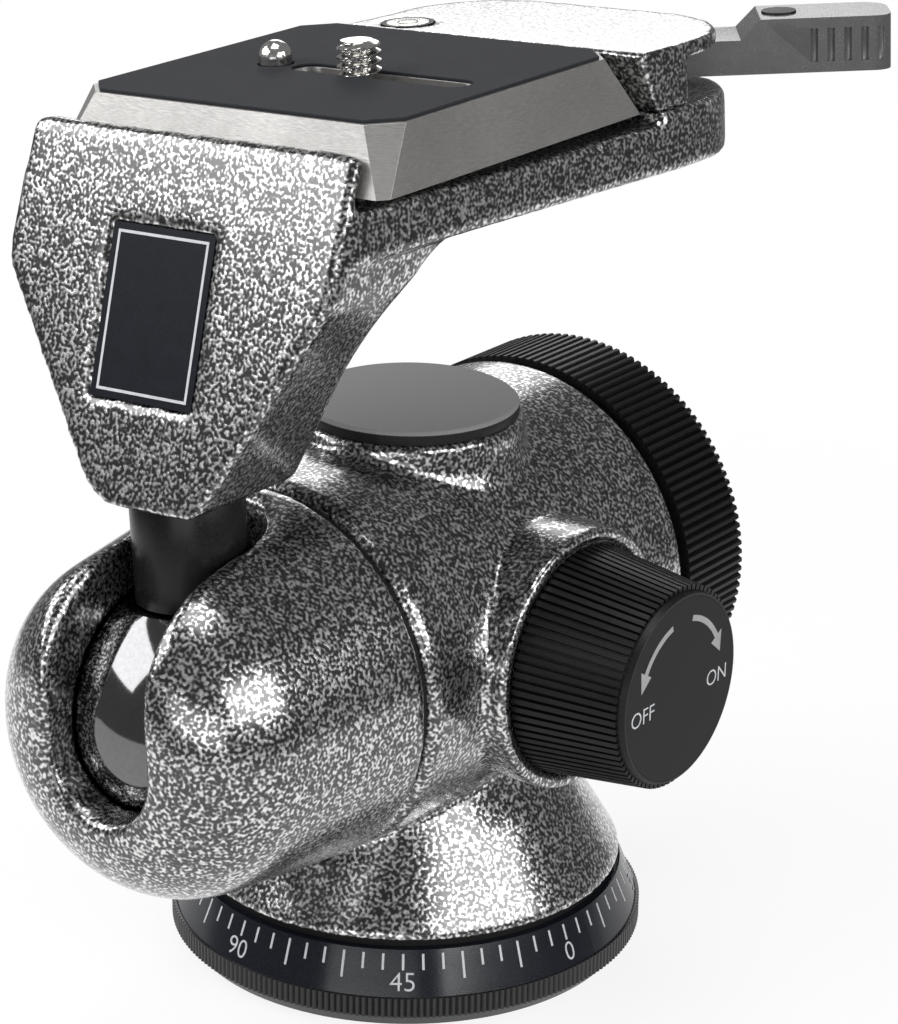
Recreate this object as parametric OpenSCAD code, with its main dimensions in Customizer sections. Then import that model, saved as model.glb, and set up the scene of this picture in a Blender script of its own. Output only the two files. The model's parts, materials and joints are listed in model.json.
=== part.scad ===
// Ball head: a panning base, a body with two lock knobs, an offset ball in a slotted housing
// and a tilted bracket that carries a quick-release plate.
// Millimetres. The origin is the mouth of the tripod thread, on the underside of the base.
// +Z is up, the ball lies towards -Y, its lock knob towards +Y and the pan knob towards +X.

/* [Base] */
// Largest radius of the base, at its knurled rim
base_r = 36.8; // [35:0.2:42]
// Radius of the foot under the rim
base_foot_r = 34.6; // [30:0.2:35]
// Height of the base, up to the top of the scale
base_h = 11.9; // [10.5:0.1:15]
// Radius at the top of the scale cone
scale_top_r = 33.6; // [32.4:0.2:35]
// Height where the scale cone meets the knurled rim
rim_top_z = 5.4; // [5.4:0.1:8]
// Height of the knurled rim
rim_h = 3.2; // [2.5:0.1:4.5]
// Number of knurls round the rim
rim_knurls = 240; // [60:2:300]
// Depth of a knurl
rim_knurl_depth = 0.35; // [0.2:0.05:0.6]

/* [Pan bearing] */
// Radius of the 3/8 inch tripod thread
tripod_thread_r = 4.7625; // [3.1:0.0001:6]
// Depth of the tripod thread
tripod_thread_depth = 15; // [8:0.5:24]
// Radius of the pan spindle
spindle_r = 9; // [7.5:0.1:10]
// Radius of the threaded end of the spindle
spindle_thread_r = 6; // [4:0.1:7]
// Radius of the spindle's flange
flange_r = 18; // [15:0.5:22]
// Thickness of the spindle's flange
flange_h = 4.6; // [3.5:0.1:6]
// Number of screws in the flange
flange_screws = 4; // [3:1:6]
// Thickness of the friction washer under the body
pan_washer_h = 1; // [0.6:0.1:2]
// Width of the friction washer
pan_washer_w = 9; // [4:0.5:14]
// Wall of the bronze bushes on the spindle
bush_wall = 2.5; // [1.5:0.1:3]
// Length of the lower bush
lower_bush_l = 20; // [10:0.5:24]
// Length of the upper bush
upper_bush_l = 7.6; // [4:0.1:8]
// Thickness of the spring washer under the spindle nut
spring_washer_h = 1.4; // [0.8:0.1:2]
// Height of the spindle nut
spindle_nut_h = 6.2; // [4:0.1:7]
// Distance across the corners of the spindle nut
spindle_nut_d = 20; // [16:0.2:22]

/* [Body] */
// Height of the barrel axis, on which the ball lies
axis_z = 53.5; // [50:0.5:60]
// Radius of the skirt at its foot
skirt_r = 33.5; // [32:0.1:35]
// Height of the upright edge of the skirt
skirt_edge_h = 0.8; // [0.4:0.1:2]
// Slope of the skirt, from the upright
skirt_slope = 30.9; // [26:0.1:34]
// Height over which the skirt runs up into the barrel
skirt_rise = 27; // [22:0.5:30]
// Radius of the barrel at its front seam
barrel_front_r = 28.9; // [28:0.1:31]
// Radius of the barrel at its rear edge
barrel_rear_r = 31; // [29:0.1:33]
// Distance of the front seam from the pan axis
barrel_front_y = 31.4; // [30:0.1:33]
// Distance of the rear edge from the pan axis
barrel_rear_y = 30; // [29:0.1:34]
// Chamfer on the barrel's edges
barrel_chamfer = 0.9; // [0.4:0.1:1.5]
// Radius of the collar under the top cap
collar_r = 17.2; // [16:0.1:20]
// Radius of the flare between the collar and the barrel
collar_flare_r = 13; // [8:0.5:16]
// Height of the collar's upright part
collar_edge_h = 1.6; // [0.8:0.1:3]
// Radius of the top cap
cap_r = 16.4; // [14:0.1:17]
// Thickness of the top cap
cap_h = 2; // [1.2:0.1:4]
// Height of the collar's top above the barrel axis
collar_rise = 31.5; // [30.5:0.1:34]
// Radius of the boss round the pan knob
pan_boss_r = 20; // [19:0.1:22]
// Distance of the boss's face from the pan axis
pan_boss_x = 32.6; // [31.5:0.1:35]
// Depth of the recess that the pan knob sits in
pan_recess = 1.2; // [0.6:0.1:2]
// Half the thickness of the web between the two chambers
web_half = 13; // [12.6:0.1:14]

/* [Pan lock] */
// Height of the pan knob's axis
pan_knob_z = 53; // [51:0.1:56]
// Radius of the pan knob at its inner end
pan_knob_r1 = 17.4; // [14:0.1:18]
// Radius of the pan knob at its face
pan_knob_r2 = 15.3; // [12:0.1:17]
// Length of the pan knob
pan_knob_l = 17.7; // [12:0.1:24]
// Number of ribs round the pan knob
pan_knob_ribs = 80; // [24:2:100]
// Depth of the ribs
rib_depth = 0.7; // [0.3:0.05:1]
// Radius of the cap on the pan knob's face
pan_cap_r = 13.9; // [9:0.1:14.2]
// Radius of the pan lock screw
pan_screw_r = 3.9; // [3:0.1:4.5]
// Radius of the threaded bush that holds the screw
pan_bush_r = 9; // [7:0.1:11]
// Length of that bush
pan_bush_l = 9.4; // [6:0.1:9.6]
// Radius of the brake shoe
brake_r = 5.9; // [4.5:0.1:6.2]
// Length of the brake shoe at its axis
brake_l = 7.4; // [5:0.1:8]

/* [Ball lock] */
// Radius of the ball lock knob
lock_knob_r = 31.2; // [28:0.1:34]
// Length of the ball lock knob
lock_knob_l = 16.1; // [12:0.1:24]
// Gap between the body and the ball lock knob
lock_knob_gap = 0.9; // [0.5:0.1:2]
// Number of ribs round the ball lock knob
lock_knob_ribs = 136; // [40:2:150]
// Radius of the cap in the rear of the ball lock knob
lock_cap_r = 21; // [14:0.5:24]
// Radius of the lock screw's thread
lock_screw_r = 6; // [4.5:0.1:7]
// Radius of the lock screw's shank in the end plate
lock_shank_r = 7; // [5.5:0.1:8]
// Radius of the lock screw's thrust collar
lock_collar_r = 10; // [8.5:0.1:12]
// Thickness of the thrust collar
lock_collar_h = 1.9; // [1.2:0.1:2.4]
// Radius of the end plate
end_plate_r = 27; // [25:0.1:27.4]
// Thickness of the end plate
end_plate_h = 6; // [4:0.1:7]
// Number of screws in the end plate
end_plate_screws = 4; // [3:1:6]
// Thickness of the pressure plate
pressure_plate_h = 4.8; // [3.5:0.1:5.2]
// Radius of a push rod
rod_r = 2; // [1.4:0.1:2.2]
// Sideways distance of the push rods from the barrel axis
rod_x = 13.4; // [13:0.1:14]
// Upward distance of the push rods from the barrel axis
rod_z = 10; // [9.4:0.1:10.4]

/* [Ball and housing] */
// Distance of the ball centre from the pan axis
ball_reach = 48.3; // [47:0.1:52]
// Radius of the ball
ball_r = 19; // [17.5:0.1:19.4]
// Turn of the ball housing about the barrel axis, as set
housing_turn = -3.8; // [-10:0.1:10]
// Radius of the housing at the seam
housing_seam_r = 28.77; // [27:0.05:30]
// Distance from the ball centre to the front of the housing
housing_front = 22.6; // [21.6:0.1:26]
// Radius of the flat at the front of the housing
housing_flat_r = 10.2; // [6:0.1:11]
// Radius of the housing's rounded front corner
housing_round_r = 15.5; // [11:0.1:16]
// Half the width of the slot for the stem
slot_half = 8.8; // [8.6:0.05:9.5]
// Backward reach of the slot, in degrees from upright
slot_back = 6.8; // [2:0.1:10]
// Forward reach of the slot, in degrees from upright
slot_front = 94; // [60:1:96]
// Distance from the ball centre at which the slot starts to flare
flare_start = 24.5; // [22:0.1:30]
// Sideways run of the flare per unit of distance
slot_flare = 0.9; // [0.3:0.1:1]
// Width of the seam between housing and body
seam_gap = 1; // [0.7:0.1:1.6]
// Outer radius of the housing's spigot
spigot_r = 22.4; // [21.4:0.1:23]
// Length of the spigot behind the seam
spigot_l = 11.4; // [10:0.1:14]
// Thickness of the body's front wall
front_wall = 6.4; // [4:0.1:7]
// Outer radius of the retaining ring on the spigot
retainer_r = 25.2; // [24:0.1:25.4]
// Length of the retaining ring
retainer_l = 4.4; // [3:0.1:5]
// Length of the pressure cup behind its rim
cup_l = 22.4; // [16:0.1:24]

/* [Stem and bracket] */
// Radius of the stem
stem_r = 8.2; // [7:0.1:8.4]
// Height of the ball's flat under the stem
ball_flat_z = 16.4; // [15:0.1:17]
// Radius of the stem's two spigots
stem_pin_r = 5; // [3.5:0.1:6]
// Height of the bracket's foot above the ball centre
foot_z = 32.5; // [30.5:0.1:36]
// Length of the stem's spigot in the bracket
stem_pin_l = 12; // [8:0.5:14]
// Height of the bracket's top lip above the ball centre
lip_z = 81.6; // [80:0.1:84]
// Backward lean of the bracket's face, in degrees
face_lean = 18.3; // [14:0.1:20]
// Forward distance of the bracket's face at its foot
foot_front = 11.7; // [10.5:0.1:14]
// Backward distance of the bracket's neck from the stem axis
neck_back = 10.6; // [8.6:0.1:13]
// Half the width of the bracket's face
face_half = 29.8; // [27:0.1:34]
// Height at which the face starts to narrow
shoulder_z = 62.5; // [58:0.5:66]
// Sideways lean of the face's two edges
face_skew = 0.9; // [0:0.1:1.5]
// Leftward reach of the face at its foot
foot_left = 7.6; // [7.5:0.1:14]
// Rightward reach of the face at its foot
foot_right = 11; // [8.6:0.1:14]
// Thickness of the deck under the plate
deck_h = 7.4; // [5:0.1:10]
// Height of the recessed floor under the plate
floor_z = 74.4; // [72:0.1:75.4]
// Height of the rear deck above the floor
rear_step = 1.8; // [1.7:0.1:2.4]
// Sideways place of the rear deck's middle
deck_x = 9.1; // [4:0.1:10]
// Half the width of the rear deck
deck_half = 28.1; // [28:0.1:34]
// Distance of the deck's rear edge from the stem axis
deck_back = 93; // [92:0.5:100]
// Radius of the deck's rear corners
deck_corner_r = 16; // [6:0.5:18]
// Radius of the curve between the neck and the deck
neck_curve_r = 20; // [8:0.5:24]
// Width of the bare name plate on the bracket's face
badge_w = 18.4; // [12:0.1:24]
// Length of the bare name plate
badge_l = 24.2; // [16:0.1:28]
// Thickness of the bare name plate
badge_h = 0.8; // [0.4:0.1:1.5]
// Height of the name plate's middle
badge_z = 58; // [50:0.5:62]

/* [Quick-release plate] */
// Width of the plate's top
plate_w = 55.8; // [50:0.2:60]
// Length of the plate's top
plate_l = 54; // [48:0.2:54.4]
// Thickness of the plate's metal
plate_h = 9; // [8.4:0.1:9.2]
// Sideways place of the plate's middle
plate_x = 4; // [2:0.1:6]
// Distance of the plate's front edge from the stem axis
plate_front = 8.6; // [8.4:0.05:9]
// Run of the dovetail per unit of height
dovetail_run = 0.4; // [0.3:0.01:0.44]
// Outward run of the plate's two ends
end_run = 1.7; // [0:0.1:3]
// Chamfer on the plate's corners
plate_chamfer = 4; // [1:0.1:5]
// Margin of metal round the rubber pad
pad_margin = 0.5; // [0.4:0.1:4]
// Height of the rubber pad above the metal
pad_h = 0.5; // [0.4:0.1:2]
// Radius of the 1/4 inch camera screw
camera_screw_r = 3.175; // [2.5:0.005:5]
// Height of the camera screw above the pad
camera_screw_h = 4.6; // [3.5:0.1:6]
// Radius of the camera screw's neck in the slot
screw_neck_r = 2.3; // [1.8:0.05:2.45]
// Sideways place of the camera screw
camera_screw_x = 7.3; // [6:0.1:10]
// Sideways place of the anti-twist pin
twist_pin_x = -8; // [-9:0.1:-7.4]
// Radius of the anti-twist pin
twist_pin_r = 2.4; // [1.8:0.1:2.6]
// Height of the anti-twist pin above the pad
twist_pin_h = 3.4; // [2.5:0.1:4]
// Slot's left end
slot_x1 = -1.8; // [-2:0.1:0]
// Slot's right end
slot_x2 = 24; // [20:0.1:26]

/* [Clamp lever] */
// Sideways place of the lever's pivot
pivot_x = 14; // [10:0.1:18]
// Distance of the lever's pivot from the stem axis
pivot_y = 82; // [81.6:0.1:84]
// Direction of the closed lever, in degrees from +X towards +Y
lever_angle = 36.4; // [30:0.1:50]
// Length of the lever from pivot to tip
lever_l = 44; // [36:0.5:60]
// Width of the lever
lever_w = 11.4; // [8:0.1:12]
// Height of the lever's arm
arm_h = 5.2; // [4:0.1:5.6]
// Height of the lever's grip
grip_h = 8.2; // [6:0.1:12]
// Where the grip starts, from the pivot
grip_start = 23; // [20:0.1:25]
// Number of grooves across the grip
grip_grooves = 5; // [3:1:6]
// Radius of the lever's hub
hub_r = 5.8; // [5.2:0.1:6]
// Radius of the lever's pivot pin
pivot_r = 2.5; // [1.8:0.1:3]
// Offset of the cam from the pivot
cam_offset = 3; // [2:0.1:3]
// Radius of the cam
cam_r = 4.5; // [4:0.1:4.6]
// Thickness of the jaw's roof over the lever
roof_h = 2.4; // [1.6:0.1:3]
// Height of the jaw's top above the rear deck
jaw_h = 9; // [8.8:0.1:10]
// Width of the clamp shoe
shoe_w = 16; // [8:0.5:20]
// Height of the clamp shoe
shoe_h = 4.4; // [3:0.1:5]
// Radius of the bubble level
level_r = 4; // [3:0.1:4.3]
// Depth of the bubble level's case
level_h = 3; // [2.6:0.1:3.4]
// Radius of the safety button on the lever
button_r = 2.6; // [1.8:0.1:3.4]
// Travel of the safety button
button_travel = 1.2; // [0.6:0.1:1.6]

/* [Fits] */
// Running clearance of a shaft in its bore
run_gap = 0.05; // [0.02:0.01:0.1]
// Clearance between faces that move past each other
face_gap = 0.3; // [0.2:0.05:0.4]
// Clearance of the dovetail
dovetail_gap = 0.2; // [0.15:0.05:0.3]
// Radius of the small machine screws
screw_r = 1.75; // [1.4:0.05:2]
// Radius of their heads
screw_head_r = 3; // [2.4:0.1:3.2]

/* [Hidden] */
$fn = 96;
eps = 0.01;

// Derived heights and places of the base and the pan bearing
ball_y = -ball_reach;
skirt_z = base_h + pan_washer_h + run_gap;
collar_z = axis_z + collar_rise;
bush_r = spindle_r + run_gap + bush_wall;
bush_bore_r = bush_r + run_gap;
cap_plug_h = 2.4;
nut_top_z = collar_z - cap_plug_h - face_gap;
nut_z = nut_top_z - spindle_nut_h;
spring_washer_z = nut_z - spring_washer_h;
upper_bush_z = spring_washer_z - face_gap - upper_bush_l;
flange_screw_circle = (spindle_r + flange_r) / 2;
base_screw_l = base_h - 1.6;

// Derived places of the pan lock, along X
pan_floor_x = pan_boss_x - pan_recess;
pan_knob_x = pan_floor_x + 2 * face_gap;
pan_bush_x = pan_floor_x - pan_bush_l;
brake_gap = face_gap + 0.1;
brake_end_x = spindle_r + brake_gap + brake_l;
pan_cap_h = 1.2;
pan_screw_end_x = pan_knob_x + pan_knob_l - pan_cap_h - 2;

// Derived places of the ball lock, along Y
bore_r = ball_r + face_gap;
cup_r = bore_r - 2 * run_gap;
chamber_r = cup_r + face_gap;
cup_rear_y = -web_half - 2 * face_gap;
press_y = web_half + 4 * face_gap;
lock_collar_y = press_y + pressure_plate_h + 0.8;
end_plate_y = lock_collar_y + lock_collar_h + face_gap;
end_plate_circle = (chamber_r + end_plate_r) / 2;
lock_knob_y = barrel_rear_y + lock_knob_gap;
lock_cap_h = 1.6;
lock_screw_end_y = lock_knob_y + lock_knob_l - lock_cap_h - 2;

// Derived places of the ball housing, along Y
seam_y = -barrel_front_y - seam_gap;
wall_y = -barrel_front_y + front_wall;
front_chamber_r = retainer_r + 2 * face_gap;

// Derived places of the bracket, plate and clamp, from the ball centre
deck_z = floor_z - deck_h;
rear_deck_z = floor_z + rear_step;
rest_h = 1.6;
plate_z = floor_z + rest_h;
metal_z = plate_z + plate_h;
pad_z = metal_z + pad_h;
plate_back = plate_front + plate_l;
step_y = plate_back + dovetail_run * plate_h + face_gap;
jaw_top_z = rear_deck_z + jaw_h;
roof_z = jaw_top_z - roof_h;
jaw_back_y = pivot_y - cam_r - cam_offset - face_gap - 0.4;
arm_z = rear_deck_z + 0.9;
slot_y = (plate_front + plate_back) / 2 - 1.8;
neck_gap = 0.25;
recess_half = 7.2;
recess_z = plate_z + 5;
slider_h = 0.8;
slider_z = recess_z - face_gap - slider_h;
screw_head_r2 = recess_half - 0.7;
pin_flange_h = 0.8;
pin_chamber_r = twist_pin_r + 0.6;
pin_chamber_z = metal_z - 1.6;
recess_x1 = twist_pin_x + pin_chamber_r + recess_half + 1;
plug_h = 0.9;
badge_x = -1.4;
badge_sink = 0.3;
level_inset = 8;
level_x = deck_x - deck_half + level_inset;
level_back = 2.1;
level_y = step_y + level_back;

// Height-dependent lines of the bracket's face and of the two dovetail flanks
function face_y(z) = -foot_front + tan(face_lean) * (z - foot_z);
function front_flank(z) = plate_front - dovetail_run * (metal_z - z);
function rear_flank(z) = plate_back + dovetail_run * (metal_z - z);

// Points on an arc
function arc(c, r, a0, a1, n = 12) =
    [for (i = [0:n]) let (a = a0 + (a1 - a0) * i / n) c + r * [cos(a), sin(a)]];

// An outline of [x, y, radius] corners with each corner rounded to its radius
function unit(v) = v / norm(v);
function turn(a) = a > 180 ? a - 360 : a < -180 ? a + 360 : a;
function corner(p, c, q, r) =
    let (u = unit(p - c), v = unit(q - c), half = acos(u * v) / 2)
    let (m = c + unit(u + v) * r / sin(half))
    let (s = c + u * r / tan(half) - m, e = c + v * r / tan(half) - m)
    let (a0 = atan2(s.y, s.x), sweep = turn(atan2(e.y, e.x) - a0))
    arc(m, r, a0, a0 + sweep, max(3, ceil(abs(sweep) / 9)));
function xy(c) = [c.x, c.y];
function rounded(list) =
    let (n = len(list))
    [for (i = [0:n - 1])
        each list[i][2] > 0
            ? corner(xy(list[(i + n - 1) % n]), xy(list[i]), xy(list[(i + 1) % n]), list[i][2])
            : [xy(list[i])]];

// Frames that the pieces are drawn in
module along_x() { rotate([0, 90, 0]) children(); }
module along_y() { rotate([-90, 0, 0]) children(); }
module at_barrel() { translate([0, 0, axis_z]) along_y() children(); }
module at_pan_knob() { translate([0, 0, pan_knob_z]) along_x() children(); }
module at_ball() { translate([0, ball_y, axis_z]) rotate([0, housing_turn, 0]) children(); }
module at_pivot() { at_ball() translate([pivot_x, pivot_y, 0]) children(); }
module at_lever() { at_pivot() rotate([0, 0, lever_angle]) children(); }
module on_face() {
    translate([badge_x, face_y(badge_z), badge_z]) rotate([90 - face_lean, 0, 0]) children();
}
// A profile drawn in the Y-Z plane and run along X between two places
module run_x(x0, x1) {
    translate([x0, 0, 0]) rotate([90, 0, 90]) linear_extrude(x1 - x0) children();
}
// A profile drawn in the X-Z plane and run along Y between two places
module run_y(y0, y1) {
    translate([0, y1, 0]) rotate([90, 0, 0]) linear_extrude(y1 - y0) children();
}
// A cylinder, and a tube, between two heights
module run_z(r, z0, z1) {
    translate([0, 0, z0]) cylinder(r = r, h = z1 - z0);
}
module tube(r0, r1, z0, z1) {
    difference() {
        run_z(r1, z0, z1);
        run_z(r0, z0 - 1, z1 + 1);
    }
}
module ring_of(n, r, a0 = 45) {
    for (i = [0:n - 1]) rotate([0, 0, a0 + 360 * i / n]) translate([r, 0, 0]) children();
}
// Outline with n flat-topped ribs and V grooves between them
module ribbed(r, n, depth) {
    polygon([for (i = [0:n - 1]) for (p = [[0, r - depth], [0.3, r], [0.7, r]])
        p[1] * [cos((i + p[0]) * 360 / n), sin((i + p[0]) * 360 / n)]]);
}
// Countersunk screw, its head's flat at z = 0 and its shank down
module flat_screw(l) {
    translate([0, 0, -l]) cylinder(r = screw_r, h = l);
    cone_h = screw_head_r - screw_r;
    translate([0, 0, -cone_h]) cylinder(r1 = screw_r, r2 = screw_head_r, h = cone_h);
}
module flat_screw_hole(l) {
    translate([0, 0, -l - run_gap]) cylinder(r = screw_r + run_gap, h = l + run_gap);
    cone_h = screw_head_r - screw_r + run_gap;
    translate([0, 0, -cone_h]) cylinder(r1 = screw_r + run_gap, r2 = screw_head_r + 2 * run_gap, h = cone_h);
}
// Screwdriver slot across a head of radius r at z = 0
module driver_slot(r, w = 0.8, depth = 0.9) {
    translate([-r - 1, -w / 2, -depth]) cube([2 * r + 2, w, depth + 1]);
}
// The same screw with its slot cut
module slotted_screw(l) {
    difference() {
        flat_screw(l);
        driver_slot(screw_head_r);
    }
}
// Round wire wound as a helix, one closed tube
spring_sides = 6;
spring_rings = 8;
function helix(r, pitch, a) = [r * cos(a), r * sin(a), pitch * a / 360];
module coil(r, wire_r, pitch, turns) {
    n = ceil(turns * spring_rings);
    ring = [for (i = [0:n]) let (a = 360 * i / spring_rings, c = helix(r, pitch, a))
        [for (k = [0:spring_sides - 1]) let (b = 360 * k / spring_sides)
            c + wire_r * [cos(b) * cos(a), cos(b) * sin(a), sin(b)]]];
    pts = [for (i = [0:n]) each ring[i]];
    side = [for (i = [0:n - 1]) for (k = [0:spring_sides - 1])
        let (a = i * spring_sides + k, b = i * spring_sides + (k + 1) % spring_sides)
        each [[a, a + spring_sides, b], [b, a + spring_sides, b + spring_sides]]];
    start = [for (k = [1:spring_sides - 2]) [0, k, k + 1]];
    last = n * spring_sides;
    stop = [for (k = [1:spring_sides - 2]) [last, last + k + 1, last + k]];
    echo(str("least gap between turns ", pitch - 2 * wire_r));
    polyhedron(pts, concat(side, start, stop));
}

// Base and pan bearing
rim_z = rim_top_z - rim_h;
rim_core_r = base_r - rim_knurl_depth - 0.15;
module base() color("#16181d") difference() {
    union() {
        rotate_extrude() polygon([[0, 0], [base_foot_r, 0], [rim_core_r, rim_z], [rim_core_r, rim_top_z],
            [scale_top_r, base_h], [0, base_h]]);
        translate([0, 0, rim_z]) linear_extrude(rim_h) ribbed(base_r, rim_knurls, rim_knurl_depth);
    }
    translate([0, 0, -1]) cylinder(r = flange_r + run_gap, h = flange_h + 1);
    cylinder(r = spindle_r + run_gap, h = base_h + 1);
    flange_screw_places() flat_screw_hole(base_screw_l);
}
module flange_screw_places() {
    ring_of(flange_screws, flange_screw_circle) mirror([0, 0, 1]) children();
}
module pan_spindle() color("#8d9196") difference() {
    union() {
        cylinder(r = flange_r, h = flange_h);
        cylinder(r = spindle_r, h = spring_washer_z);
        cylinder(r = spindle_thread_r, h = nut_top_z);
    }
    translate([0, 0, -1]) cylinder(r = tripod_thread_r, h = tripod_thread_depth + 1);
    flange_screw_places() flat_screw_hole(base_screw_l);
}
module base_screws() color("#3a3c40") flange_screw_places() slotted_screw(base_screw_l);
washer_r = scale_top_r - 1.2;
module pan_washer() color("#101012")
    tube(washer_r - pan_washer_w, washer_r, base_h, base_h + pan_washer_h);
module spring_washer() color("#9a9da1")
    tube(spindle_thread_r + run_gap, bush_r - face_gap, spring_washer_z, nut_z);
module spindle_nut() color("#7d8084") difference() {
    translate([0, 0, nut_z]) cylinder(d = spindle_nut_d, h = spindle_nut_h, $fn = 6);
    translate([0, 0, nut_z - 1]) cylinder(r = spindle_thread_r + run_gap, h = spindle_nut_h + 2);
}

// Body: skirt, barrel, collar and boss, with the chambers of the two locks
module skirt() {
    z = skirt_z + skirt_edge_h + skirt_rise;
    rotate_extrude() polygon([[0, skirt_z], [skirt_r, skirt_z], [skirt_r, skirt_z + skirt_edge_h],
        [skirt_r - skirt_rise * tan(skirt_slope), z], [0, z]]);
}
module barrel() {
    at_barrel() rotate_extrude() polygon([[0, -barrel_front_y],
        [barrel_front_r - barrel_chamfer, -barrel_front_y], [barrel_front_r, barrel_chamfer - barrel_front_y],
        [barrel_rear_r, barrel_rear_y - barrel_chamfer], [barrel_rear_r - barrel_chamfer, barrel_rear_y],
        [0, barrel_rear_y]]);
}
module collar() {
    flare = arc([collar_r + collar_flare_r, collar_z - collar_edge_h], collar_flare_r, 180, 224);
    low = flare[len(flare) - 1];
    rotate_extrude() polygon(concat([[0, low.y], [0, collar_z], [collar_r, collar_z]], flare));
}
module pan_boss() {
    at_pan_knob() cylinder(r = pan_boss_r, h = pan_boss_x);
}
module spindle_bore() {
    translate([0, 0, skirt_z - 1]) cylinder(r = bush_bore_r, h = lower_bush_l + 1);
    translate([0, 0, skirt_z]) cylinder(r = spindle_r + face_gap, h = collar_z - skirt_z);
    translate([0, 0, upper_bush_z]) cylinder(r = bush_bore_r, h = collar_z - upper_bush_z + 1);
}
module pan_lock_bore() {
    at_pan_knob() {
        cylinder(r = brake_r + 2 * run_gap, h = pan_boss_x);
        translate([0, 0, pan_bush_x]) cylinder(r = pan_bush_r + run_gap, h = pan_boss_x);
        translate([0, 0, pan_floor_x]) cylinder(r = pan_knob_r1 + 2 * face_gap, h = pan_boss_x);
    }
}
module ball_lock_bore() {
    at_barrel() {
        translate([0, 0, -barrel_front_y - 1]) cylinder(r = spigot_r + run_gap, h = front_wall + 2);
        translate([0, 0, wall_y]) cylinder(r = front_chamber_r, h = -web_half - wall_y);
        translate([0, 0, web_half]) cylinder(r = chamber_r, h = end_plate_y - web_half + eps);
        translate([0, 0, end_plate_y]) cylinder(r = end_plate_r + run_gap, h = barrel_rear_y);
        end_plate_places() flat_screw_hole(end_plate_screw_l);
        rod_places() translate([0, 0, -web_half - 1]) cylinder(r = rod_r + face_gap, h = 2 * web_half + 2);
    }
}
end_plate_screw_l = end_plate_h + 4;
module end_plate_places() {
    translate([0, 0, end_plate_y + end_plate_h]) ring_of(end_plate_screws, end_plate_circle) children();
}
module rod_places() {
    for (x = [-1, 1]) for (z = [-1, 1]) translate([x * rod_x, z * rod_z, 0]) children();
}
module body() color("#8b8d8f") difference() {
    union() {
        skirt();
        barrel();
        collar();
        pan_boss();
    }
    spindle_bore();
    pan_lock_bore();
    ball_lock_bore();
}
module pan_bushes() color("#a8763e") {
    tube(spindle_r + run_gap, bush_r, skirt_z + run_gap, skirt_z + lower_bush_l - run_gap);
    tube(spindle_r + run_gap, bush_r, upper_bush_z + run_gap, upper_bush_z + upper_bush_l);
}
cap_edge = 0.5;
module top_cap() color("#6a6c6e") rotate_extrude() polygon([[0, collar_z - cap_plug_h],
    [bush_bore_r - run_gap, collar_z - cap_plug_h], [bush_bore_r - run_gap, collar_z], [cap_r, collar_z],
    [cap_r, collar_z + cap_h - cap_edge], [cap_r - cap_edge, collar_z + cap_h], [0, collar_z + cap_h]]);
module pan_lock_bush() color("#a8763e") at_pan_knob()
    tube(pan_screw_r + run_gap, pan_bush_r, pan_bush_x + run_gap, pan_floor_x);
module lock_end_plate() color("#5c5e62") at_barrel() difference() {
    tube(lock_shank_r + run_gap, end_plate_r, end_plate_y + run_gap, end_plate_y + end_plate_h);
    end_plate_places() flat_screw_hole(end_plate_screw_l);
}
module end_plate_screws() color("#3a3c40") at_barrel() end_plate_places() slotted_screw(end_plate_screw_l);
seal_inset = 0.5;
module seam_seal() color("#0c0c0d") at_barrel()
    tube(spigot_r + face_gap, barrel_front_r - barrel_chamfer - seal_inset,
        seam_y + face_gap, -barrel_front_y);

// Pan lock
pan_knob_edge = 1;
pan_knob_end_x = pan_knob_x + pan_knob_l;
// Thin spokes that give a cone its ribs
module spokes(r, n) {
    polygon([for (i = [0:n - 1]) for (p = [[0, r / 2], [0.22, r], [0.78, r]])
        p[1] * [cos((i + p[0]) * 360 / n), sin((i + p[0]) * 360 / n)]]);
}
module pan_knob() color("#151517") at_pan_knob() difference() {
    ribs_l = pan_knob_l - pan_knob_edge;
    core_end_r = pan_knob_r2 - rib_depth;
    translate([0, 0, pan_knob_x]) {
        cylinder(r1 = pan_knob_r1 - rib_depth, r2 = core_end_r, h = ribs_l);
        translate([0, 0, ribs_l])
            cylinder(r1 = core_end_r, r2 = pan_knob_r2 - pan_knob_edge, h = pan_knob_edge);
        intersection() {
            cylinder(r1 = pan_knob_r1, r2 = pan_knob_r2, h = ribs_l);
            linear_extrude(ribs_l) spokes(pan_knob_r1 + 1, pan_knob_ribs);
        }
    }
    run_z(pan_screw_r + run_gap, pan_knob_x - 1, pan_screw_end_x);
    run_z(pan_cap_r + run_gap, pan_knob_end_x - pan_cap_h, pan_knob_end_x + 1);
}
module pan_knob_cap() color("#2c2d30") at_pan_knob()
    run_z(pan_cap_r, pan_knob_end_x - pan_cap_h, pan_knob_end_x);
module pan_lock_screw() color("#8d9196") at_pan_knob()
    run_z(pan_screw_r, brake_end_x + brake_gap, pan_screw_end_x);
module brake_shoe() color("#a8763e") difference() {
    at_pan_knob() cylinder(r = brake_r, h = brake_end_x);
    run_z(spindle_r + brake_gap, pan_knob_z - 2 * brake_r, pan_knob_z + 2 * brake_r);
}

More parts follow.
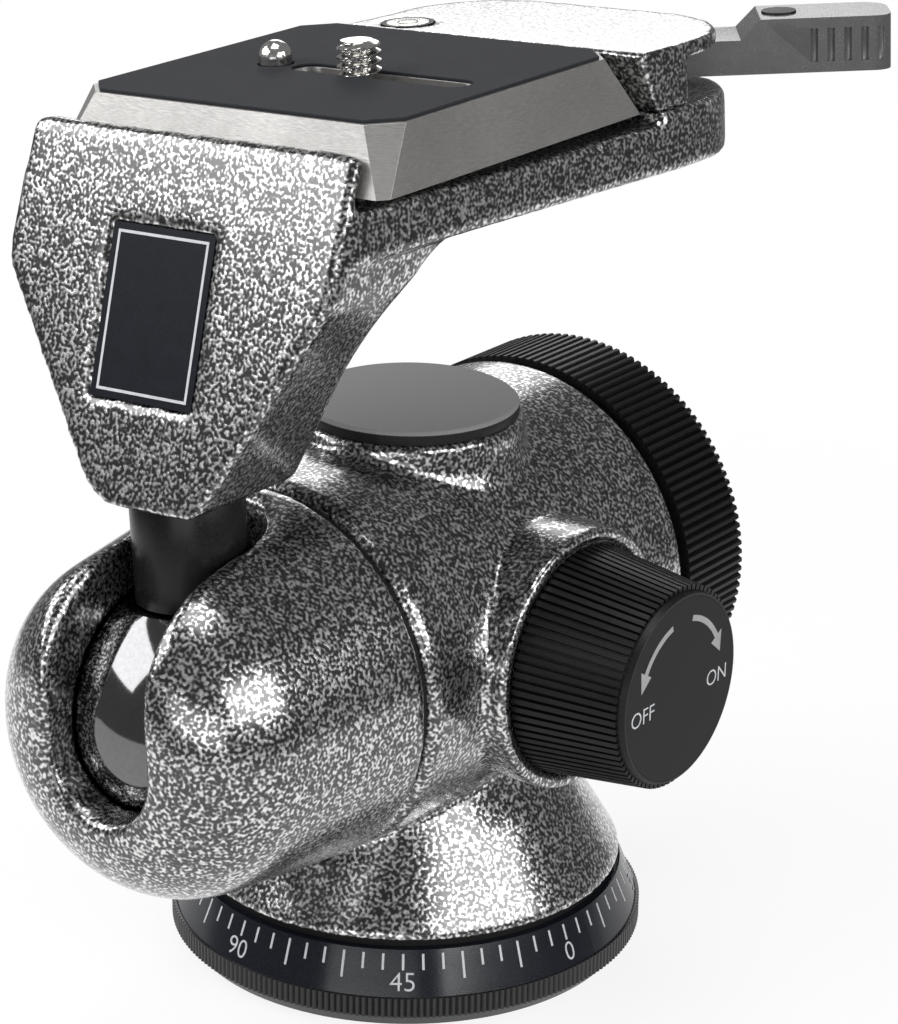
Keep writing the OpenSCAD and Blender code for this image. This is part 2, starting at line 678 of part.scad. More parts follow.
// Ball lock
lock_knob_edge = 1.2;
lock_knob_end_y = lock_knob_y + lock_knob_l;
module ball_lock_knob() color("#151517") at_barrel() difference() {
    hollow_r = lock_knob_r - 6;
    core_r = lock_knob_r - rib_depth - 0.1;
    edge_y = lock_knob_end_y - lock_knob_edge;
    union() {
        translate([0, 0, lock_knob_y]) linear_extrude(lock_knob_l - lock_knob_edge)
            ribbed(lock_knob_r, lock_knob_ribs, rib_depth);
        translate([0, 0, edge_y]) cylinder(r1 = core_r, r2 = core_r - lock_knob_edge, h = lock_knob_edge);
    }
    run_z(hollow_r, lock_knob_y - 1, lock_knob_y + lock_knob_l / 3);
    run_z(lock_shank_r + run_gap, lock_knob_y, lock_screw_end_y);
    run_z(lock_cap_r + run_gap, lock_knob_end_y - lock_cap_h, lock_knob_end_y + 1);
}
module lock_knob_cap() color("#2c2d30") at_barrel()
    run_z(lock_cap_r, lock_knob_end_y - lock_cap_h, lock_knob_end_y);
module lock_screw() color("#8d9196") at_barrel() {
    run_z(lock_screw_r, web_half + face_gap, lock_collar_y + eps);
    run_z(lock_collar_r, lock_collar_y, lock_collar_y + lock_collar_h);
    run_z(lock_shank_r, lock_collar_y, lock_screw_end_y);
}
module pressure_plate() color("#8d9196") at_barrel()
    tube(lock_screw_r + 2 * run_gap, cup_r, press_y, press_y + pressure_plate_h);
module push_rods() color("#8d9196") at_barrel() rod_places() run_z(rod_r, cup_rear_y, press_y);
module pressure_cup() color("#3a3b40") difference() {
    at_barrel() run_z(cup_r, cup_rear_y - cup_l, cup_rear_y);
    translate([0, ball_y, axis_z]) sphere(r = bore_r);
}

// Ball and housing
module housing_outline() {
    c = [housing_flat_r, housing_round_r - housing_front];
    s = [housing_seam_r, seam_y - ball_y];
    d = norm(s - c);
    end = atan2(s.y - c.y, s.x - c.x) - acos(housing_round_r / d);
    polygon(concat([[0, -housing_front]], arc(c, housing_round_r, -90, end, 24), [s, [0, s.y]]));
}
// Slot that the stem swings in, flared where it comes out through the wall
slot_end_step = 0.15;
slot_inner_r = 4;
module stem_slot() {
    reach = housing_front + ball_r;
    wide = slot_half + slot_flare * (reach - flare_start);
    rotate([0, 90, 0]) rotate([0, 0, 180 - slot_back]) rotate_extrude(angle = slot_back + slot_front)
        polygon([[slot_inner_r, -slot_half], [flare_start, -slot_half], [reach, -wide],
            [reach, wide], [flare_start, slot_half], [slot_inner_r, slot_half]]);
    for (a = [-slot_back, slot_front]) rotate([a, 0, 0]) cylinder(r = slot_half - slot_end_step, h = reach);
}
// Ball seat with the straight way in behind it, as a half section
module ball_bore() intersection() {
    union() {
        circle(r = bore_r);
        square([bore_r, ball_reach]);
    }
    translate([0, -bore_r]) square([bore_r, bore_r + ball_reach]);
}
module ball_housing() color("#8b8d8f") at_ball() difference() {
    union() {
        along_y() rotate_extrude() housing_outline();
        along_y() translate([0, 0, seam_y - ball_y - eps]) cylinder(r = spigot_r, h = spigot_l + eps);
    }
    along_y() rotate_extrude() ball_bore();
    stem_slot();
}
module retaining_ring() color("#8d9196") at_barrel()
    tube(spigot_r + run_gap, retainer_r, wall_y + face_gap, wall_y + face_gap + retainer_l);
module ball() color("#2a2b2e") at_ball() difference() {
    sphere(r = ball_r);
    translate([-ball_r, -ball_r, ball_flat_z]) cube([2 * ball_r, 2 * ball_r, ball_r]);
    run_z(stem_pin_r + run_gap, ball_flat_z - stem_pin_l - face_gap, ball_r);
}

// Stem and bracket
set_screw_z = foot_z + stem_pin_l / 2;
foot_round_r = 9;
foot_edge_r = 3;
module stem() color("#121214") at_ball() {
    z = ball_flat_z + face_gap;
    translate([0, 0, z]) cylinder(r = stem_r, h = foot_z - z);
    translate([0, 0, z - stem_pin_l]) cylinder(r = stem_pin_r, h = foot_z - z + 2 * stem_pin_l);
}
set_screw_sink = 0.6;
module stem_set_screw() color("#3a3c40") at_ball() translate([0, 0, set_screw_z]) along_y() difference() {
    run_z(screw_r, stem_pin_r + run_gap, neck_back - set_screw_sink);
    translate([0, 0, neck_back - 2]) cylinder(r = screw_r / 2, h = 3, $fn = 6);
}
module bracket_side() {
    c = [neck_back + neck_curve_r, deck_z - neck_curve_r];
    polygon(concat([[face_y(foot_z), foot_z], [face_y(lip_z), lip_z],
        [front_flank(lip_z) - dovetail_gap, lip_z], [front_flank(floor_z) - dovetail_gap, floor_z],
        [c.x, floor_z]], arc(c, neck_curve_r, 90, 180), [[neck_back, foot_z]]));
}
module bracket_front() {
    low = face_half - face_skew;
    top = face_half - 0.6;
    polygon(rounded([[foot_right, foot_z, foot_edge_r], [low, shoulder_z, 7],
        [top + face_skew, lip_z, 2], [face_skew - top, lip_z, 2],
        [-low - face_skew, shoulder_z, 7], [-foot_left, foot_z, foot_round_r]]));
}
deck_widen = 4.7;
deck_bend_r = 30;
function deck_plan(inset) =
    let (x0 = deck_x - deck_half + inset, x1 = deck_x + deck_half - inset, back = deck_back - inset)
    rounded([[face_half - inset, 3, 0], [x1, step_y + deck_widen, deck_bend_r], [x1, back, deck_corner_r],
        [x0, back, deck_corner_r], [x0, step_y + deck_widen, deck_bend_r], [inset - face_half, 3, 0]]);
jaw_screw_l = rear_deck_z - deck_z + 5;
rests = [-15, 25];
rest_w = 4;
screw_inset_left = 6;
screw_inset_right = 10.2;
screw_beside_pivot = 19;
screw_past_pivot = 3;
screw_past_level = 7.4;
screw_past_step = 4;
module jaw_screw_places() {
    left = [deck_x - deck_half + screw_inset_left, level_y + screw_past_level];
    middle = [pivot_x - screw_beside_pivot, pivot_y + screw_past_pivot];
    right = [deck_x + deck_half - screw_inset_right, step_y + screw_past_step];
    for (p = [left, middle, right]) translate([p.x, p.y, deck_z]) children();
}
module bracket() color("#8b8d8f") at_ball() difference() {
    union() {
        intersection() {
            run_x(-2 * face_half, 2 * face_half) bracket_side();
            run_y(-4 * foot_front, deck_back) bracket_front();
        }
        translate([0, 0, deck_z]) linear_extrude(deck_h) polygon(deck_plan(0));
        translate([0, 0, deck_z]) linear_extrude(rear_deck_z - deck_z) intersection() {
            polygon(deck_plan(0));
            translate([-2 * deck_half, step_y]) square([4 * deck_half, deck_back]);
        }
        for (x = rests) translate([x - rest_w / 2, plate_front, deck_z])
            cube([rest_w, plate_l, plate_z - run_gap - deck_z]);
    }
    run_z(stem_pin_r + run_gap, foot_z - 1, foot_z + stem_pin_l + face_gap);
    translate([0, 0, set_screw_z]) along_y() cylinder(r = screw_r + run_gap, h = neck_back + 1);
    translate([pivot_x, pivot_y, 0]) run_z(pivot_r + run_gap, deck_z + 1, rear_deck_z + 1);
    jaw_screw_places() mirror([0, 0, 1]) flat_screw_hole(jaw_screw_l);
    on_face() translate([0, 0, -badge_h - badge_sink]) linear_extrude(2 * badge_h)
        square([badge_w + 2 * run_gap, badge_l + 2 * run_gap], center = true);
}
module name_plate() color("#20262d") at_ball() on_face() translate([0, 0, -badge_h - badge_sink])
    linear_extrude(badge_h) square([badge_w, badge_l], center = true);

// Rear jaw, level and clamp lever
jaw_inset = 0.8;
pocket_x = 1;
shoe_z = rear_deck_z + 1.4;
shoe_back_y = pivot_y - cam_r - cam_offset - face_gap;
pin_top_z = jaw_top_z - 0.6;
function jaw_flank(z) = rear_flank(z) + dovetail_gap;
module jaw_side() {
    polygon([[jaw_flank(rear_deck_z), rear_deck_z], [jaw_flank(jaw_top_z), jaw_top_z],
        [deck_back, jaw_top_z], [deck_back, rear_deck_z]]);
}
module rear_jaw() color("#a9abac") at_ball() difference() {
    intersection() {
        run_x(-2 * deck_half, 2 * deck_half) jaw_side();
        translate([0, 0, deck_z]) linear_extrude(jaw_top_z) polygon(deck_plan(jaw_inset));
    }
    translate([pocket_x, jaw_back_y, roof_z - 2 * jaw_h]) cube([2 * deck_half, deck_back, 2 * jaw_h]);
    translate([pivot_x - shoe_w / 2 - face_gap, plate_back, shoe_z - face_gap])
        cube([shoe_w + 2 * face_gap, pivot_y - plate_back, shoe_h + 2 * face_gap]);
    translate([level_x, level_y, 0]) run_z(level_r + run_gap, jaw_top_z - level_h, jaw_top_z + 1);
    translate([pivot_x, pivot_y, 0]) run_z(pivot_r + run_gap, roof_z - 1, pin_top_z);
    jaw_screw_places() cylinder(r = screw_r + run_gap, h = jaw_screw_l + face_gap);
}
module jaw_screws() color("#3a3c40") at_ball() jaw_screw_places()
    mirror([0, 0, 1]) slotted_screw(jaw_screw_l);
level_wall = 0.7;
level_room_r = level_r - level_wall;
module at_level() { at_ball() translate([level_x, level_y, jaw_top_z - level_h]) children(); }
module level_case() color("#202225") at_level() difference() {
    cylinder(r = level_r, h = level_h);
    run_z(level_room_r, level_wall, level_h + 1);
}
module level_fluid() color("#9fb53c") at_level()
    run_z(level_room_r - run_gap, level_wall, level_h - level_wall - run_gap);
module level_lens() color("#dfe6e2") at_level()
    run_z(level_room_r - run_gap, level_h - level_wall, level_h);
module lever_pin() color("#8d9196") at_pivot() run_z(pivot_r, deck_z + 1, pin_top_z);
hub_z = rear_deck_z + face_gap;
hub_top_z = roof_z - face_gap;
spring_room_h = 3;
spring_room_r = hub_r - 0.8;
button_s = grip_start + 4.6;
button_room_z = arm_z + 2;
button_top_z = arm_z + grip_h + 0.3;
button_l = 4.4;
groove_r = 0.55;
groove_pitch = 2.5;
groove_end = 1.6;
module lever_side() {
    grip_z = arm_z + grip_h;
    polygon([[0, arm_z], [lever_l, arm_z], [lever_l, grip_z], [grip_start + 1.5, grip_z],
        [grip_start - 1.5, arm_z + arm_h], [0, arm_z + arm_h]]);
}
module lever_plan() {
    half = lever_w / 2;
    polygon(rounded([[0, -half, 0], [lever_l, -half, 2.5], [lever_l, half, 4], [0, half, 0]]));
}
module lever_grooves() {
    for (i = [0:grip_grooves - 1]) for (side = [-1, 1])
        translate([lever_l - groove_end - groove_pitch * i, side * lever_w / 2, arm_z + groove_end])
            cylinder(r = groove_r, h = grip_h - 2 * groove_end, $fn = 24);
}
module lever() color("#77787a") at_lever() difference() {
    union() {
        run_z(hub_r, hub_z, hub_top_z);
        rotate([0, 0, -90 - lever_angle]) translate([cam_offset, 0, 0]) run_z(cam_r, hub_z, hub_top_z);
        intersection() {
            run_y(-lever_w, lever_w) lever_side();
            linear_extrude(2 * pad_z) lever_plan();
        }
    }
    run_z(pivot_r + run_gap, hub_z - 1, hub_top_z + 1);
    run_z(spring_room_r, hub_z - 1, hub_z + spring_room_h);
    translate([button_s, 0, 0]) run_z(button_r + run_gap, button_room_z, button_top_z + 1);
    lever_grooves();
}
module lever_spring() color("#9a9da1") at_pivot() translate([0, 0, hub_z + 0.6])
    coil(r = (pivot_r + spring_room_r) / 2, wire_r = 0.4, pitch = 1.3, turns = 1.5);
module safety_button() color("#303134") at_lever() translate([button_s, 0, 0])
    run_z(button_r, button_top_z - button_l, button_top_z);
module button_spring() color("#9a9da1") at_lever() translate([button_s, 0, button_room_z + 0.3])
    coil(r = button_r - 0.6, wire_r = 0.2, pitch = 0.9, turns = 1.6);
module clamp_shoe() color("#a8763e") at_ball() run_x(pivot_x - shoe_w / 2, pivot_x + shoe_w / 2) {
    top_z = shoe_z + shoe_h;
    polygon([[jaw_flank(shoe_z), shoe_z], [jaw_flank(top_z), top_z],
        [shoe_back_y, top_z], [shoe_back_y, shoe_z]]);
}

// Quick-release plate
module plate_corners() {
    reach = plate_w;
    out = (end_run + dovetail_run * plate_h + plate_chamfer * 2 / 3) / sqrt(2);
    x = (plate_w - plate_chamfer) / 2;
    y = (plate_l - plate_chamfer) / 2;
    for (sx = [-1, 1]) for (sy = [-1, 1])
        translate([plate_x + sx * x, plate_front + plate_l / 2 + sy * y, metal_z])
            rotate([0, 0, atan2(sy, sx)]) rotate([0, -atan(out / plate_h), 0])
                translate([0, -reach / 2, -reach / 2]) cube(reach);
}
module screw_slot(half, x1, z0, z1) {
    translate([x1, slot_y, 0]) run_z(half, z0, z1);
    translate([slot_x2, slot_y, 0]) run_z(half, z0, z1);
    translate([x1, slot_y - half, z0]) cube([slot_x2 - x1, 2 * half, z1 - z0]);
}
module quick_plate() color("#b4b1aa") at_ball() difference() {
    half = plate_w / 2;
    intersection() {
        run_x(plate_x - plate_w, plate_x + plate_w) polygon([[front_flank(plate_z), plate_z],
            [front_flank(metal_z), metal_z], [rear_flank(metal_z), metal_z], [rear_flank(plate_z), plate_z]]);
        run_y(0, 2 * plate_back) polygon([[plate_x - half - end_run, plate_z], [plate_x - half, metal_z],
            [plate_x + half, metal_z], [plate_x + half + end_run, plate_z]]);
    }
    plate_corners();
    screw_slot(screw_neck_r + neck_gap, slot_x1, plate_z, metal_z + 1);
    screw_slot(recess_half, recess_x1, plate_z - 1, recess_z);
    translate([twist_pin_x, slot_y, 0]) {
        run_z(twist_pin_r + run_gap, plate_z, metal_z + 1);
        run_z(pin_chamber_r, plate_z - 1, pin_chamber_z);
    }
}
module pad_plan() {
    c = plate_chamfer;
    x0 = plate_x - plate_w / 2 + pad_margin;
    x1 = plate_x + plate_w / 2 - pad_margin;
    y0 = plate_front + pad_margin;
    y1 = plate_back - pad_margin;
    polygon([[x0 + c, y0], [x1 - c, y0], [x1, y0 + c], [x1, y1 - c],
        [x1 - c, y1], [x0 + c, y1], [x0, y1 - c], [x0, y0 + c]]);
}
module rubber_pad() color("#33343a") at_ball() difference() {
    translate([0, 0, metal_z]) linear_extrude(pad_h) pad_plan();
    screw_slot(screw_neck_r + neck_gap, slot_x1, metal_z - 1, pad_z + 1);
    translate([twist_pin_x, slot_y, 0]) run_z(twist_pin_r + neck_gap, metal_z - 1, pad_z + 1);
}
module at_twist_pin() { at_ball() translate([twist_pin_x, slot_y, 0]) children(); }
module twist_pin() color("#d0d0ce") at_twist_pin() {
    flange_z = pin_chamber_z - pin_flange_h - run_gap;
    run_z(pin_chamber_r - run_gap, flange_z, flange_z + pin_flange_h);
    rotate_extrude() polygon(concat([[0, flange_z], [twist_pin_r, flange_z]],
        arc([0, pad_z + twist_pin_h - twist_pin_r], twist_pin_r, 0, 90)));
}
module pin_spring() color("#9a9da1") at_twist_pin() translate([0, 0, plate_z + plug_h + 0.3])
    coil(r = pin_chamber_r - 0.8, wire_r = 0.2, pitch = 1.5, turns = 3);
module pin_plug() color("#5c5e62") at_twist_pin()
    run_z(pin_chamber_r - run_gap, plate_z + run_gap, plate_z + plug_h);
module at_camera_screw() { at_ball() translate([camera_screw_x, slot_y, 0]) children(); }
module screw_slider() color("#5c5e62") at_camera_screw()
    tube(screw_neck_r + run_gap, recess_half - face_gap, slider_z, slider_z + slider_h);
module camera_screw() color("#c9c9c6") at_camera_screw() difference() {
    head_z = plate_z + face_gap;
    neck_z = slider_z - face_gap;
    seat_z = pad_z + face_gap;
    top_z = pad_z + camera_screw_h;
    tip = 0.6;
    union() {
        run_z(screw_head_r2, head_z, neck_z);
        run_z(screw_neck_r, head_z, top_z - tip);
        run_z(camera_screw_r, seat_z, top_z - tip);
        translate([0, 0, top_z - tip]) cylinder(r1 = camera_screw_r, r2 = camera_screw_r - tip, h = tip);
    }
    translate([0, 0, head_z]) mirror([0, 0, 1]) driver_slot(screw_head_r2, 1.6, 1.6);
}

// Draw the whole assembly, or one piece of it
base();
pan_spindle();
base_screws();
pan_washer();
spring_washer();
spindle_nut();
body();
pan_bushes();
top_cap();
pan_lock_bush();
lock_end_plate();
end_plate_screws();
seam_seal();
pan_knob();
pan_knob_cap();
pan_lock_screw();
brake_shoe();
ball_lock_knob();
lock_knob_cap();
lock_screw();
pressure_plate();
push_rods();
pressure_cup();
ball_housing();
retaining_ring();
ball();
stem();
stem_set_screw();
bracket();
name_plate();
rear_jaw();
jaw_screws();
level_case();
level_fluid();
level_lens();
lever_pin();
lever();
lever_spring();
safety_button();
button_spring();
clamp_shoe();
quick_plate();
rubber_pad();
twist_pin();
pin_spring();
pin_plug();
screw_slider();
camera_screw();
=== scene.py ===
"""Looks for the ball head: rounded castings, finishes, dial, thread, springs, light and camera."""
import json
import math

import bmesh
import bpy
import numpy as np
from mathutils import Matrix, Vector
from mathutils.bvhtree import BVHTree

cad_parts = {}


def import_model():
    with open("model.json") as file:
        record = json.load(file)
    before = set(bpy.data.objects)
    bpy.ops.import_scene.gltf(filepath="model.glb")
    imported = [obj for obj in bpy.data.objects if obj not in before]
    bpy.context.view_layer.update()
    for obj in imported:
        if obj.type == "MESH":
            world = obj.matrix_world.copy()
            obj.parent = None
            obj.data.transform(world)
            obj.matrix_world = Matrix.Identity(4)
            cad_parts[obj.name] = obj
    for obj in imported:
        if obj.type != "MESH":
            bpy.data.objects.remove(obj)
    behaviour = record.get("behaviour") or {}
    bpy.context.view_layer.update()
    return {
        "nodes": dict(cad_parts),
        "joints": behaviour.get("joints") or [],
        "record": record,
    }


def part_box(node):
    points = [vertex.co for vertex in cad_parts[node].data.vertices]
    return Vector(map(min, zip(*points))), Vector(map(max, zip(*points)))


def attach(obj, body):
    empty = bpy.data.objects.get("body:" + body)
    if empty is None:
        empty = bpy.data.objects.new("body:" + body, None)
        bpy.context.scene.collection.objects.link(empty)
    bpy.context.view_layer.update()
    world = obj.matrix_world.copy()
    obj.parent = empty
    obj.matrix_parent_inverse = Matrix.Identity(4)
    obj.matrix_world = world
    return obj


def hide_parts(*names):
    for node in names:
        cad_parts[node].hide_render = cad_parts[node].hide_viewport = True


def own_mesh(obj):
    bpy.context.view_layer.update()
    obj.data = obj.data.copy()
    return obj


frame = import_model()
NODES = frame["nodes"]
MM = 0.001
SIDES = 72


# Places read from the frame
def joint_named(name):
    return next(j for j in frame["joints"] if j["name"] == name)


def joint_axis(name):
    """Unit vector of a joint's axis at rest."""
    return Vector(joint_named(name)["axis"]).normalized()


def ball_centre():
    lo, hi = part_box("ball")
    radius = (hi.x - lo.x) / 2
    return Vector(((lo.x + hi.x) / 2, (lo.y + hi.y) / 2, lo.z + radius))


BRACKET_X = joint_axis("front_tilt")
BRACKET_Z = joint_axis("stem_twist")
BRACKET_Y = BRACKET_Z.cross(BRACKET_X)
BRACKET = Matrix.Translation(ball_centre()) @ Matrix(
    (BRACKET_X, BRACKET_Y, BRACKET_Z)).transposed().to_4x4()


# Mesh helpers
def new_object(name, data):
    obj = bpy.data.objects.new(name, data)
    bpy.context.collection.objects.link(obj)
    return obj


def mesh_from(name, verts, faces):
    mesh = bpy.data.meshes.new(name)
    mesh.from_pydata([tuple(v) for v in verts], [], faces)
    mesh.validate()
    return mesh


def evaluated_copy(obj, name):
    """The mesh that an object's modifiers make, as a new mesh."""
    graph = bpy.context.evaluated_depsgraph_get()
    mesh = bpy.data.meshes.new_from_object(obj.evaluated_get(graph))
    mesh.name = name
    return mesh


def coords(mesh):
    flat = np.empty(3 * len(mesh.vertices), np.float32)
    mesh.vertices.foreach_get("co", flat)
    return flat.reshape(-1, 3)


def tree_of(objects):
    """One search tree over the meshes of several objects."""
    verts, faces = [], []
    for obj in objects:
        start = len(verts)
        verts += [v.co.copy() for v in obj.data.vertices]
        faces += [[start + i for i in p.vertices] for p in obj.data.polygons]
    return BVHTree.FromPolygons(verts, faces)


SMOOTHING_STEP = 0.5


def smoothed(points, edges, weight, passes):
    """Moves each point towards the middle of its neighbours, as far as its weight lets it."""
    count = len(points)
    a, b = edges[:, 0], edges[:, 1]
    degree = np.bincount(a, minlength=count) + np.bincount(b, minlength=count)
    degree = np.maximum(degree, 1)
    for _ in range(passes):
        middle = np.empty_like(points)
        for axis in range(3):
            column = points[:, axis]
            total = np.bincount(a, column[b], count) + np.bincount(b, column[a], count)
            middle[:, axis] = total / degree
        points = points + SMOOTHING_STEP * weight[:, None] * (middle - points)
    return points


def join_rings(bm, rings, ends):
    """Walls between rings that have the same number of points, and flat ends if wanted."""
    sides = len(rings[0])
    for low, high in zip(rings, rings[1:]):
        for i in range(sides):
            j = (i + 1) % sides
            bm.faces.new((low[i], low[j], high[j], high[i]))
    if ends:
        bm.faces.new(reversed(rings[0]))
        bm.faces.new(rings[-1])


def lathe(bm, profile, sides, place, ends=True):
    """Turned shape from (radius, height) points; a radius may be a function of the angle."""
    rings = []
    for radius, height in profile:
        ring = []
        for i in range(sides):
            a = 2 * math.pi * i / sides
            r = radius(a) if callable(radius) else radius
            ring.append(bm.verts.new(place @ Vector((r * math.cos(a), r * math.sin(a), height))))
        rings.append(ring)
    join_rings(bm, rings, ends)


def local_box(node):
    """Lowest and highest corner of a CAD node in the bracket's own frame."""
    back = BRACKET.inverted()
    points = np.array([back @ v.co for v in NODES[node].data.vertices])
    return Vector(points.min(0)), Vector(points.max(0))


def finished(name, bm):
    """Closes a bmesh into a mesh."""
    mesh = bpy.data.meshes.new(name)
    bm.to_mesh(mesh)
    bm.free()
    return mesh


# Castings with rounded edges
VOXEL = 0.45 * MM
MATE_REACH = 0.4 * MM
KEEP_SHARE = 0.4
LOOSE = ("quick_plate", "rubber_pad", "clamp_shoe")
CAST_SLOT = "hammertone"
CASTINGS = (
    # node, body that carries it, passes of smoothing
    ("bracket", "platform", 20),
    ("rear_jaw", "platform", 12),
    ("body", "swivel", 14),
    ("ball_housing", "housing", 40),
)


def rounded_casting(node, body, passes):
    """A copy of a CAD casting with soft edges. Faces that another piece sits on keep their place."""
    source = NODES[node]
    exact = tree_of([source])
    others = tree_of([o for n, o in NODES.items() if n != node and n not in LOOSE])
    work = new_object(node + "_work", source.data.copy())
    remesh = work.modifiers.new("voxels", "REMESH")
    remesh.mode = "VOXEL"
    remesh.voxel_size = VOXEL
    mesh = evaluated_copy(work, node + "_cast")
    normals = np.empty(3 * len(mesh.vertices), np.float32)
    mesh.vertex_normals.foreach_get("vector", normals)
    points = coords(mesh)
    free = np.ones(len(points), np.float32)
    for i, (p, n) in enumerate(zip(points, normals.reshape(-1, 3))):
        place = exact.find_nearest(Vector(p))[0]
        points[i] = place
        if others.ray_cast(place, Vector(n), MATE_REACH)[0] is not None:
            free[i] = 0
    edges = np.empty(2 * len(mesh.edges), np.int32)
    mesh.edges.foreach_get("vertices", edges)
    points = smoothed(points, edges.reshape(-1, 2), free, passes)
    mesh.vertices.foreach_set("co", points.ravel())
    mesh.update()
    work.modifiers.clear()
    work.data = mesh
    thin = work.modifiers.new("thin", "DECIMATE")
    thin.ratio = KEEP_SHARE
    final = evaluated_copy(work, node + "_cast")
    bpy.data.objects.remove(work)
    final.shade_smooth()
    final.materials.clear()
    final.materials.append(MATERIALS[CAST_SLOT])
    piece = new_object(node + "_cast", final)
    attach(piece, body)
    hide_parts(node)


# Materials
class Finish:
    """A material in the making: its node tree with short calls for the nodes used here."""

    def __init__(self, name, **sockets):
        self.material = bpy.data.materials.new(name)
        self.material.use_nodes = True
        self.tree = self.material.node_tree
        self.shader = next(n for n in self.tree.nodes if n.type == "BSDF_PRINCIPLED")
        for socket, value in sockets.items():
            self.shader.inputs[socket.replace("_", " ")].default_value = value
        self.place = self.add("ShaderNodeTexCoord").outputs["Object"]

    def add(self, kind, **inputs):
        made = self.tree.nodes.new(kind)
        for name, value in inputs.items():
            self.put(made.inputs[name.replace("_", " ")], value)
        return made

    def put(self, socket, value):
        if isinstance(value, bpy.types.NodeSocket):
            self.tree.links.new(value, socket)
        else:
            socket.default_value = value

    def stretched(self, scale):
        return self.add("ShaderNodeMapping", Vector=self.place, Scale=scale).outputs[0]

    def noise(self, size, detail=2, place=None):
        """Noise whose blots are about size metres across."""
        made = self.add("ShaderNodeTexNoise", Vector=place or self.place, Scale=1 / size, Detail=detail)
        return made.outputs["Fac"]

    def ramp(self, value, stops):
        made = self.add("ShaderNodeValToRGB", Fac=value)
        points = made.color_ramp.elements
        while len(points) < len(stops):
            points.new(0.5)
        for point, (at, colour) in zip(points, stops):
            point.position = at
            point.color = (*colour, 1)
        return made.outputs["Color"]

    def spread(self, value, low, high, start=0.3, end=0.7):
        """The part of a value from start to end, stretched to run from low to high."""
        made = self.add("ShaderNodeMapRange", Value=value, From_Min=start, From_Max=end,
                        To_Min=low, To_Max=high)
        return made.outputs[0]

    def colour(self, socket):
        self.put(self.shader.inputs["Base Color"], socket)

    def metal(self, socket):
        self.put(self.shader.inputs["Metallic"], socket)

    def rough(self, socket):
        self.put(self.shader.inputs["Roughness"], socket)

    def bump(self, height, depth):
        made = self.add("ShaderNodeBump", Height=height, Distance=depth)
        self.put(self.shader.inputs["Normal"], made.outputs[0])


def grey(value):
    return (value, value, value)


WORM_SIZE = 0.53 * MM
WORM_DEPTH = 0.03 * MM
WORM_TONES = (
    (0.36, grey(0.003)), (0.43, grey(0.018)), (0.50, grey(0.10)),
    (0.58, grey(0.32)), (0.66, (0.62, 0.62, 0.615)), (0.74, (0.80, 0.80, 0.79)))


def hammertone():
    """Cast metal under hammered paint: pale islands with dark worms between them."""
    finish = Finish("hammertone", Specular_IOR_Level=0.1, Coat_Weight=1.0, Coat_Roughness=0.18,
                    Coat_IOR=1.8)
    worms = finish.noise(WORM_SIZE, detail=0)
    finish.colour(finish.ramp(worms, WORM_TONES))
    finish.metal(finish.spread(worms, low=0.4, high=0.95, start=0.40, end=0.56))
    finish.rough(finish.spread(worms, low=0.36, high=0.25))
    finish.bump(worms, WORM_DEPTH)
    return finish.material


CLOUD_SIZE = 12
GRAIN_SHARE = 0.6
CLOUD_SHARE = (0.15, 0.25)


def speckled(name, dark, light, size, rough, depth, sockets, stretch=None):
    """Even finish: fine grain and wide faint clouds give the colour and gloss, the grain the height."""
    finish = Finish(name, **sockets)
    place = finish.stretched(stretch) if stretch else finish.place
    grain = finish.noise(size * MM, detail=4, place=place)
    cloud = finish.noise(CLOUD_SIZE * (size * MM), detail=2)
    mix = finish.add("ShaderNodeMath", Value=grain)
    mix.operation = "MULTIPLY_ADD"
    mix.inputs[1].default_value = GRAIN_SHARE
    finish.put(mix.inputs[2], finish.spread(cloud, *CLOUD_SHARE))
    both = mix.outputs[0]
    finish.colour(finish.ramp(both, ((0.35, dark), (0.65, light))))
    finish.rough(finish.spread(both, rough[0], rough[1]))
    finish.bump(grain, depth * MM)
    return finish.material


TONE_EDGE = 0.05 * MM
MOULDING_GRAIN = 0.25 * MM
MOULDING_DEPTH = 0.004 * MM
# places of the colour sockets on Blender's mix node
MIX_FIRST = 6
MIX_SECOND = 7
MIX_RESULT = 2


def two_tone(name, edge, low, high, low_rough, high_rough, **sockets):
    """One moulding in two tones by height (low and high pairs): real finishes on the dial, painted sheen
    on the cap top.
    """
    finish = Finish(name, **sockets)
    grain = finish.noise(MOULDING_GRAIN, detail=3)
    height = finish.add("ShaderNodeSeparateXYZ", Vector=finish.place).outputs["Z"]
    upper = finish.spread(height, 0, 1, edge - TONE_EDGE, edge + TONE_EDGE)
    tones = [finish.ramp(grain, ((0.3, dark), (0.7, light))) for dark, light in (low, high)]
    mix = finish.add("ShaderNodeMix")
    mix.data_type = "RGBA"
    finish.put(mix.inputs["Factor"], upper)
    finish.put(mix.inputs[MIX_FIRST], tones[0])
    finish.put(mix.inputs[MIX_SECOND], tones[1])
    finish.colour(mix.outputs[MIX_RESULT])
    finish.rough(finish.spread(upper, low_rough, high_rough, 0, 1))
    finish.bump(grain, MOULDING_DEPTH)
    return finish.material


# depth of the band of painted sheen at the top of the black cap
CAP_SHEEN_DEPTH = 0.5 * MM


def cap_top():
    """Black moulding whose top face is painted grey as a painted reflection of the light from above."""
    # the upper grey tones are painted sheen: colour standing in for overhead light reflected by the black
    # cap
    return two_tone("cap_top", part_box("top_cap")[1].z - CAP_SHEEN_DEPTH, (grey(0.008), grey(0.02)),
                    (grey(0.225), grey(0.27)), low_rough=0.40, high_rough=0.60, Specular_IOR_Level=0.15)


def dial_and_rim():
    """Glossy scale cone above a duller knurled rim."""
    return two_tone("dial_and_rim", DIAL_FOOT.z, (grey(0.016), grey(0.026)),
                    ((0.004, 0.0045, 0.007), (0.010, 0.012, 0.019)),
                    low_rough=0.42, high_rough=0.16, Specular_IOR_Level=0.38)


HAZE_SIZE = 2 * MM
HAZE_DEPTH = 0.004 * MM


